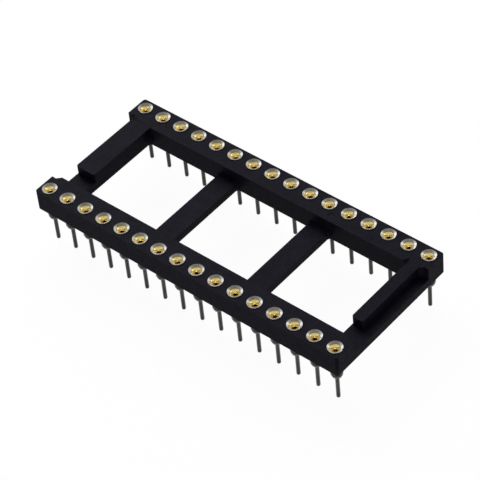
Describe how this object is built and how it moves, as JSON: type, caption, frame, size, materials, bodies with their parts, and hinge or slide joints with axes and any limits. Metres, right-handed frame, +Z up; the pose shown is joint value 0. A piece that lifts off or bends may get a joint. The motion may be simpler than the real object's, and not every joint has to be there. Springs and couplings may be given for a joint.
{
  "type": "ic socket",
  "caption": "Turned-pin dual in-line IC socket with an open black frame, two rows of tinned sleeves and gold spring clips.",
  "frame": {"origin": "centre of the contact grid, on the board plane where the shoulders of the sleeves seat", "axes": "+X along the rows, +Y from the front row (contacts 1 to 16) to the back row (17 to 32), +Z up, away from the board"},
  "size_m": [0.0404, 0.0176, 0.0074],
  "materials": {
    "frame_moulding": "matte, fine-grained",
    "tinned_sleeve": "bright tin over turned brass",
    "gold_clip": "bright gold plate"
  },
  "bodies": {
    "root": {"moulded_body": "frame_moulding", "contact_sleeve_01": "tinned_sleeve", "contact_sleeve_02": "tinned_sleeve", "contact_sleeve_03": "tinned_sleeve", "contact_sleeve_04": "tinned_sleeve", "contact_sleeve_05": "tinned_sleeve", "contact_sleeve_06": "tinned_sleeve", "contact_sleeve_07": "tinned_sleeve", "contact_sleeve_08": "tinned_sleeve", "contact_sleeve_09": "tinned_sleeve", "contact_sleeve_10": "tinned_sleeve", "contact_sleeve_11": "tinned_sleeve", "contact_sleeve_12": "tinned_sleeve", "contact_sleeve_13": "tinned_sleeve", "contact_sleeve_14": "tinned_sleeve", "contact_sleeve_15": "tinned_sleeve", "contact_sleeve_16": "tinned_sleeve", "contact_sleeve_17": "tinned_sleeve", "contact_sleeve_18": "tinned_sleeve", "contact_sleeve_19": "tinned_sleeve", "contact_sleeve_20": "tinned_sleeve", "contact_sleeve_21": "tinned_sleeve", "contact_sleeve_22": "tinned_sleeve", "contact_sleeve_23": "tinned_sleeve", "contact_sleeve_24": "tinned_sleeve", "contact_sleeve_25": "tinned_sleeve", "contact_sleeve_26": "tinned_sleeve", "contact_sleeve_27": "tinned_sleeve", "contact_sleeve_28": "tinned_sleeve", "contact_sleeve_29": "tinned_sleeve", "contact_sleeve_30": "tinned_sleeve", "contact_sleeve_31": "tinned_sleeve", "contact_sleeve_32": "tinned_sleeve", "spring_clips_01_32": "gold_clip", "spring_clips_02_31": "gold_clip", "spring_clips_03_30": "gold_clip", "spring_clips_04_29": "gold_clip", "spring_clips_05_28": "gold_clip", "spring_clips_06_27": "gold_clip", "spring_clips_07_26": "gold_clip", "spring_clips_08_25": "gold_clip", "spring_clips_09_24": "gold_clip", "spring_clips_10_23": "gold_clip", "spring_clips_11_22": "gold_clip", "spring_clips_12_21": "gold_clip", "spring_clips_13_20": "gold_clip", "spring_clips_14_19": "gold_clip", "spring_clips_15_18": "gold_clip", "spring_clips_16_17": "gold_clip"}
  },
  "joints": []
}
